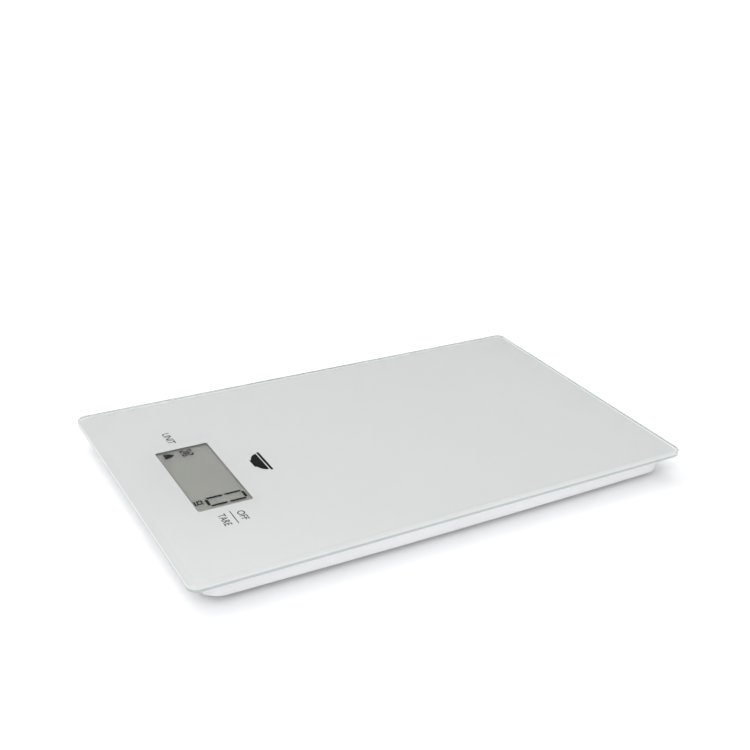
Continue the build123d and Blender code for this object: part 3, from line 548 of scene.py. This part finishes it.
def makeBowl():
    # a mixing bowl drawn plainly: rim bar, round body and foot
    x, y = bowlLook["centre"]
    thick = legendLook["thickness"]
    middle = inkHeight + thick / 2
    topEdge = y + bowlLook["height"] / 2
    rim = addBlock("bowl_rim", (x, topEdge - bowlLook["rimThickness"] / 2, middle),
                   (bowlLook["width"], bowlLook["rimThickness"], thick))
    roundCorners(rim, bowlLook["rimThickness"] * 0.48, 6)
    bodyTop = topEdge - bowlLook["rimThickness"] - bowlLook["gap"]
    bodyDepth = bodyTop - (y - bowlLook["height"] / 2) - bowlLook["footHeight"] * 0.5
    bodyHalf = bowlLook["width"] * 0.44
    cutReach = 1e-7     # far below the ink's thickness, or the whole disc would count as on the cut
    bowl = addDisc("bowl_body", (0, 0, 0), 1.0, thick, 64)
    pick(bowl, "FACE", lambda face, mesh: True)
    bpy.ops.mesh.bisect(plane_co=(0, 0, 0), plane_no=(0, 1, 0), use_fill=True, clear_outer=True,
                        threshold=cutReach)
    # flat underneath, where the foot meets it
    footTop = y - bowlLook["height"] / 2 + bowlLook["footHeight"]
    bpy.ops.mesh.select_all(action="SELECT")
    bpy.ops.mesh.bisect(plane_co=(0, (footTop - bodyTop) / bodyDepth * mm, 0), plane_no=(0, 1, 0),
                        use_fill=True, clear_inner=True, threshold=cutReach)
    bpy.ops.object.mode_set(mode="OBJECT")
    bowl.scale = (bodyHalf, bodyDepth, 1)
    bowl.location = (x * mm, bodyTop * mm, middle * mm)
    bpy.ops.object.transform_apply(location=True, rotation=True, scale=True)
    foot = addBlock("bowl_foot", (x, y - bowlLook["height"] / 2 + bowlLook["footHeight"] / 2, middle),
                    (bowlLook["footWidth"], bowlLook["footHeight"], thick))
    roundCorners(foot, bowlLook["footHeight"] * 0.3, 4)
    mark = joinAll([rim, bowl, foot])
    mark.name = "bowl_mark"
    finishPiece(mark, inkFinish("blackPrintInk", legendLook["ink"]))


makeLegends()
makeBowl()
print("legends and bowl mark done")


displayLook = {
    "reflectorColour": (0.84, 0.81, 0.808),
    "polariserTint": (0.93, 0.93, 0.915),
    "paneTint": (0.985, 0.99, 0.985),
    "paneCorner": 0.4,
    "paneArris": 0.06,
    "paneGap": 0.01,                        # each pane stands clear of its neighbours by this
    "segmentColour": (0.006, 0.006, 0.0065),
    "strokeWidth": 1.15,
    "digit": (14.2, 21.0, -88.4, -71.7),    # left, right, bottom, top
    "barInset": 1.15,                       # from a side to the short bars' ends
    "splitGap": 0.8,
    "unitLetter": (15.0, 17.9, -93.1, -89.6),
    "letterStroke": 0.6,
    "letterGap": 0.06,
    "ring": (-22.15, -81.3, 1.4, 0.5),      # x, y, outer radius, dot radius
    "ringStroke": 0.55,
    "bracketHalf": 2.45,
    "bracketArm": 1.85,
    "bracketStroke": 0.65,
    "weight": (-22.55, -91.1, 4.1, 4.4),     # x, foot y, width, height
}
displayLook["segmentThickness"] = displayLook["paneGap"] * 1.4
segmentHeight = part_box("lcd_rear_glass")[1].z / mm      # the joint between the two panes


def clearFinish(name, tint, gloss, mirror):
    # a thin clear layer: mostly see-through, with a little surface gloss
    finish, tree, shader = newFinish(name)
    space = patternSpace(tree)
    cloud = addNoise(tree, space, 120.0)
    shader.inputs["Base Color"].default_value = (0.02, 0.02, 0.02, 1)
    tree.links.new(addRange(tree, cloud, 0.3, 0.7, gloss, gloss + 0.04), shader.inputs["Roughness"])
    clear = addNode(tree, "BsdfTransparent", {})
    tree.links.new(addBlend(tree, cloud, tint, tuple(c * 0.99 for c in tint)), clear.inputs["Color"])
    mixer = addNode(tree, "MixShader", {"Fac": mirror})
    tree.links.new(clear.outputs[0], mixer.inputs[1])
    tree.links.new(shader.outputs[0], mixer.inputs[2])
    tree.links.new(mixer.outputs[0], tree.nodes["Material Output"].inputs["Surface"])
    return finish


def reflectorFinish():
    # satin film behind the panes, with a very fine sparkle
    return surfaceFinish("reflectorFilm", {
        "colour": displayLook["reflectorColour"],
        "second": tuple(c * 0.97 for c in displayLook["reflectorColour"]),
        "cloudScale": 90, "grainScale": 4000, "gloss": (0.45, 0.6),
        "grainStrength": 0.15, "grainDepth": 0.01})


def makePane(node, name, finish):
    # a thin glass pane with cut corners and ground edges
    low, high = (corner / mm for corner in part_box(node))
    gap = displayLook["paneGap"]
    bottom, top = low.z + gap, high.z - gap
    pane = addBlock(name, ((low.x + high.x) / 2, (low.y + high.y) / 2, (bottom + top) / 2),
                    (high.x - low.x, high.y - low.y, top - bottom))
    roundCorners(pane, displayLook["paneCorner"], 1)
    softenTop(pane, top, displayLook["paneArris"])
    finishPiece(pane, finish)
    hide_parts(node)


def makeSegment(name, centre, length, turned):
    # a bar with pointed ends
    width = displayLook["strokeWidth"]
    size = (width, length, displayLook["segmentThickness"]) if turned else \
        (length, width, displayLook["segmentThickness"])
    bar = addBlock(name, (*centre, segmentHeight), size)
    roundCorners(bar, width * 0.38, 1)
    return bar


def makeDigit(ink):
    left, right, bottom, top = displayLook["digit"]
    half = displayLook["strokeWidth"] / 2
    middle = (bottom + top) / 2
    shortBar = right - left - 2 * displayLook["barInset"]
    longBar = (top - bottom - displayLook["splitGap"]) / 2 - half * 1.6
    bars = [((left + right) / 2, y, shortBar, False) for y in (top - half, bottom + half)]
    for x in (left + half, right - half):
        for way in (1, -1):
            bars.append((x, middle + way * (displayLook["splitGap"] + longBar) / 2, longBar, True))
    for i, (x, y, length, turned) in enumerate(bars, 1):
        finishPiece(makeSegment(f"digit_bar_{i}", (x, y), length, turned), ink)


def pushFace(piece, spot, direction, distance):
    # draws out the side face that is centred at the spot
    way = Vector((*direction, 0))
    centre = Vector((*spot, segmentHeight)) * mm
    pick(piece, "FACE", lambda face, mesh: face.normal.dot(way) > 0.99 and (face.center - centre).dot(way) > 0
         and (face.center - centre).cross(way).length < 0.05 * mm)
    bpy.ops.mesh.extrude_region_move(TRANSFORM_OT_translate={"value": way * distance * mm})
    bpy.ops.object.mode_set(mode="OBJECT")


def makeRing(ink):
    x, y, radius, dotRadius = displayLook["ring"]
    thick = displayLook["segmentThickness"]
    startFresh()
    bpy.ops.mesh.primitive_circle_add(vertices=48, radius=radius * mm,
                                      location=(x * mm, y * mm, (segmentHeight - thick / 2) * mm))
    outer = bpy.context.object
    bpy.ops.object.transform_apply(location=True, rotation=True, scale=True)
    middle = (x * mm, y * mm, 0)
    inner = 1 - displayLook["ringStroke"] / radius
    bpy.ops.object.mode_set(mode="EDIT")
    bpy.ops.mesh.select_all(action="SELECT")
    bpy.ops.mesh.extrude_region_move(TRANSFORM_OT_translate={"value": (0, 0, 0)})
    bpy.ops.transform.resize(value=(inner, inner, 1), center_override=middle)
    bpy.ops.mesh.select_all(action="SELECT")
    bpy.ops.mesh.extrude_region_move(TRANSFORM_OT_translate={"value": (0, 0, thick * mm)})
    bpy.ops.mesh.select_all(action="SELECT")
    bpy.ops.mesh.normals_make_consistent(inside=False)
    bpy.ops.object.mode_set(mode="OBJECT")
    parts = [outer, addDisc("target_dot", (x, y, segmentHeight), dotRadius, thick, 24)]
    reach, arm, stroke = (displayLook[key] for key in ("bracketHalf", "bracketArm", "bracketStroke"))
    for sideX in (-1, 1):
        for sideY in (-1, 1):
            # one corner bracket: a square with two arms drawn out of it
            spot = (x + sideX * (reach - stroke / 2), y + sideY * (reach - stroke / 2))
            corner = addBlock("corner_part", (*spot, segmentHeight), (stroke, stroke, thick))
            pushFace(corner, spot, (-sideX, 0), arm - stroke)
            pushFace(corner, spot, (0, -sideY), arm - stroke)
            parts.append(corner)
    icon = joinAll(parts)
    icon.name = "target_icon"
    finishPiece(icon, ink)


def makeUnitLetter(ink):
    # the letter g in straight strokes
    left, right, bottom, top = displayLook["unitLetter"]
    stroke, gap = displayLook["letterStroke"], displayLook["letterGap"]
    middle = bottom + (top - bottom) * 0.42
    inner = right - stroke - gap
    bars = [((right - stroke / 2, (top + bottom) / 2), (stroke, top - bottom))]
    for y in (top - stroke / 2, middle, bottom + stroke / 2):
        bars.append((((left + inner) / 2, y), (inner - left, stroke)))
    upright = top - middle - 1.5 * stroke - 2 * gap
    bars.append(((left + stroke / 2, (top - stroke + middle + stroke / 2) / 2), (stroke, upright)))
    parts = []
    for centre, size in bars:
        bar = addBlock("letter_bar", (*centre, segmentHeight), (*size, displayLook["segmentThickness"]))
        roundCorners(bar, stroke * 0.2, 2)
        parts.append(bar)
    letter = joinAll(parts)
    letter.name = "unit_letter"
    finishPiece(letter, ink)


def makeWeight(ink):
    x, foot, width, height = displayLook["weight"]
    thick = displayLook["segmentThickness"]
    bodyHeight = height * 0.74
    block = addBlock("weight_body", (x, foot + bodyHeight / 2, segmentHeight), (width, bodyHeight, thick))
    pick(block, "VERT", lambda v, mesh: v.co.y > (foot + bodyHeight / 2) * mm)
    bpy.ops.transform.resize(value=(0.66, 1, 1), center_override=(x * mm, 0, 0))
    bpy.ops.object.mode_set(mode="OBJECT")
    roundCorners(block, 0.2, 2)
    knob = addDisc("weight_knob", (x, foot + height - 0.75, segmentHeight), 0.75, thick, 32)
    icon = joinAll([block, knob])
    icon.name = "weight_icon"
    finishPiece(icon, ink)


def makeDisplay():
    dress(["lcd_reflector"], reflectorFinish())
    paneGlass = glassFinish("paneGlass", displayLook["paneTint"])
    makePane("lcd_rear_glass", "rear_pane", paneGlass)
    makePane("lcd_front_glass", "front_pane", paneGlass)
    ink = inkFinish("segmentInk", displayLook["segmentColour"])
    makeDigit(ink)
    makeUnitLetter(ink)
    makeRing(ink)
    makeWeight(ink)
    dress(["lcd_front_polariser"], clearFinish("polariserFilm", displayLook["polariserTint"], 0.12, 0.05))


makeDisplay()
print("display done")


plasticLooks = {
    "housingWhite": {"colour": (0.895, 0.90, 0.905), "second": (0.875, 0.88, 0.885), "cloudScale": 25,
                     "grainScale": 2200, "gloss": (0.32, 0.46), "grainStrength": 0.12, "grainDepth": 0.02},
    "coverWhite": {"colour": (0.78, 0.79, 0.80), "second": (0.75, 0.76, 0.775), "cloudScale": 30,
                   "grainScale": 1100, "gloss": (0.45, 0.62), "grainStrength": 0.35, "grainDepth": 0.05},
    "footCup": {"colour": (0.74, 0.745, 0.75), "second": (0.71, 0.715, 0.72), "cloudScale": 80,
                "grainScale": 1500, "gloss": (0.4, 0.55), "grainStrength": 0.25, "grainDepth": 0.04},
    "footRubber": {"colour": (0.30, 0.31, 0.32), "second": (0.26, 0.27, 0.28), "cloudScale": 300,
                   "grainScale": 2500, "gloss": (0.6, 0.85), "grainStrength": 0.4, "grainDepth": 0.04},
    "holderPlastic": {"colour": (0.70, 0.70, 0.69), "second": (0.66, 0.66, 0.65), "cloudScale": 90,
                      "grainScale": 1600, "gloss": (0.4, 0.6), "grainStrength": 0.25, "grainDepth": 0.03},
    "tapeFoam": {"colour": (0.80, 0.80, 0.78), "second": (0.70, 0.70, 0.68), "cloudScale": 900,
                 "grainScale": 3500, "gloss": (0.8, 0.95), "grainStrength": 0.8, "grainDepth": 0.08},
    "sealFoam": {"colour": (0.20, 0.20, 0.205), "second": (0.16, 0.16, 0.165), "cloudScale": 1200,
                 "grainScale": 4000, "gloss": (0.8, 0.95), "grainStrength": 0.9, "grainDepth": 0.08},
}
plasticPlaces = {
    "housingWhite": ["upper_shell"],
    "coverWhite": ["base_cover", "battery_door", "door_latch"],
    "holderPlastic": ["lcd_holder"],
    "tapeFoam": ["glass_tape"],
    "sealFoam": ["lcd_dust_seal"],
}
corners = ("front_left", "front_right", "rear_left", "rear_right")
for finishName, look in plasticLooks.items():
    places = plasticPlaces.get(finishName) or \
        [("foot_cup_" if finishName == "footCup" else "foot_pad_") + corner for corner in corners]
    dress(places, surfaceFinish(finishName, look))
print("plastics done")


metalLooks = {
    "zincScrew": {"colour": (0.62, 0.63, 0.64), "second": (0.52, 0.53, 0.54), "cloudScale": 500,
                  "grainScale": 3000, "gloss": (0.25, 0.4), "metal": 1.0,
                  "grainStrength": 0.2, "grainDepth": 0.01},
    "springWire": {"colour": (0.66, 0.64, 0.60), "second": (0.55, 0.53, 0.50), "cloudScale": 600,
                   "grainScale": 2500, "gloss": (0.2, 0.35), "metal": 1.0,
                   "grainStrength": 0.15, "grainDepth": 0.01},
    "cellSteel": {"colour": (0.60, 0.61, 0.62), "second": (0.50, 0.51, 0.52), "cloudScale": 200,
                  "stretch": (1, 12, 1), "grainScale": 700, "gloss": (0.3, 0.48), "metal": 1.0,
                  "grainStrength": 0.25, "grainDepth": 0.02},
    "coinSteel": {"colour": (0.72, 0.72, 0.71), "second": (0.62, 0.62, 0.61), "cloudScale": 350,
                  "stretch": (9, 1, 1), "grainScale": 900, "gloss": (0.18, 0.32), "metal": 1.0,
                  "grainStrength": 0.15, "grainDepth": 0.01},
    "contactSteel": {"colour": (0.74, 0.70, 0.60), "second": (0.62, 0.58, 0.50), "cloudScale": 400,
                     "grainScale": 1800, "gloss": (0.25, 0.4), "metal": 1.0, "grainStrength": 0.2,
                     "grainDepth": 0.01},
    "solderTin": {"colour": (0.66, 0.66, 0.67), "second": (0.50, 0.50, 0.51), "cloudScale": 1500,
                  "grainScale": 3500, "gloss": (0.2, 0.45), "metal": 1.0,
                  "grainStrength": 0.3, "grainDepth": 0.02},
}
metalPlaces = {
    "zincScrew": ["cover_screws", "board_screws", "load_cell_screws"] + ["foot_rivet_" + c for c in corners],
    "springWire": ["touch_spring_unit", "touch_spring_tare"],
    "cellSteel": ["load_cell_" + c for c in corners],
    "coinSteel": ["coin_cell"],
    "contactSteel": ["positive_contact", "negative_contact"],
    "solderTin": ["solder_joints"],
}
for finishName, look in metalLooks.items():
    dress(metalPlaces[finishName], surfaceFinish(finishName, look))
print("metals done")


boardLook = {
    "mask": (0.03, 0.20, 0.09),
    "maskOverCopper": (0.06, 0.32, 0.15),
    "traceSpacing": 620.0,
}


def boardFinish():
    # green solder mask with paler copper tracks under it, in straight runs
    finish, tree, shader = newFinish("boardLaminate")
    space = patternSpace(tree)
    bricks = addNode(tree, "TexBrick", {"Scale": boardLook["traceSpacing"], "Mortar Size": 0.03,
                                        "Color1": (0, 0, 0, 1), "Color2": (0, 0, 0, 1),
                                        "Mortar": (1, 1, 1, 1)})
    tree.links.new(space, bricks.inputs["Vector"])
    cloud = addNoise(tree, space, 90.0)
    tracks = addMath(tree, "MULTIPLY", bricks.outputs["Color"], addRange(tree, cloud, 0.42, 0.5, 0, 1))
    tree.links.new(addBlend(tree, tracks, boardLook["mask"], boardLook["maskOverCopper"]),
                   shader.inputs["Base Color"])
    grain = addNoise(tree, space, 1500.0)
    tree.links.new(addRange(tree, grain, 0.3, 0.7, 0.3, 0.45), shader.inputs["Roughness"])
    addBump(tree, shader, tracks, 0.4, 0.03)
    return finish


def stripedFinish(name, colourA, colourB, scale, gloss):
    # even stripes, as in a conductive strip or a gauge's grid
    finish, tree, shader = newFinish(name)
    space = patternSpace(tree)
    wave = addNode(tree, "TexWave", {"Scale": scale, "bands_direction": "X", "Distortion": 0.0})
    tree.links.new(space, wave.inputs["Vector"])
    tree.links.new(addBlend(tree, addRange(tree, wave.outputs["Fac"], 0.4, 0.6, 0, 1), colourA, colourB),
                   shader.inputs["Base Color"])
    tree.links.new(addRange(tree, addNoise(tree, space, 900.0), 0.3, 0.7, gloss[0], gloss[1]),
                   shader.inputs["Roughness"])
    addBump(tree, shader, wave.outputs["Fac"], 0.3, 0.02)
    return finish


def wireFinish(name, colour):
    return surfaceFinish(name, {"colour": colour, "second": tuple(c * 0.85 for c in colour),
                                "cloudScale": 250, "grainScale": 1800, "gloss": (0.3, 0.45),
                                "grainStrength": 0.15, "grainDepth": 0.02})


electronicLooks = {
    "chipResin": ({"colour": (0.015, 0.015, 0.017), "second": (0.025, 0.025, 0.027), "cloudScale": 300,
                   "grainScale": 900, "gloss": (0.15, 0.3), "grainStrength": 0.2, "grainDepth": 0.05},
                  ["controller_blob"]),
    "chipBody": ({"colour": (0.45, 0.36, 0.24), "second": (0.32, 0.26, 0.18), "cloudScale": 500,
                  "grainScale": 2500, "gloss": (0.35, 0.5), "grainStrength": 0.2, "grainDepth": 0.02},
                 ["board_chips"]),
    "amberTape": ({"colour": (0.70, 0.62, 0.42), "second": (0.64, 0.56, 0.37), "cloudScale": 200,
                   "grainScale": 1200, "gloss": (0.2, 0.35), "grainStrength": 0.2, "grainDepth": 0.02},
                  ["wire_tapes"]),
}
for finishName, (look, places) in electronicLooks.items():
    dress(places, surfaceFinish(finishName, look))
dress(["circuit_board"], boardFinish())
zebraRubber = stripedFinish("zebraRubber", (0.02, 0.02, 0.02), (0.55, 0.52, 0.50), 700.0, (0.5, 0.7))
dress(["zebra_strip"], zebraRubber)
dress(["strain_gauge_" + c for c in corners],
      stripedFinish("gaugeGrid", (0.62, 0.36, 0.10), (0.34, 0.24, 0.16), 900.0, (0.25, 0.4)))
dress(["battery_lead_positive"], wireFinish("redWire", (0.55, 0.03, 0.025)))
dress(["battery_lead_negative"], wireFinish("blackWire", (0.02, 0.02, 0.022)))
dress(["harness_" + c for c in corners], wireFinish("whiteWire", (0.72, 0.72, 0.70)))
print("electronics done")
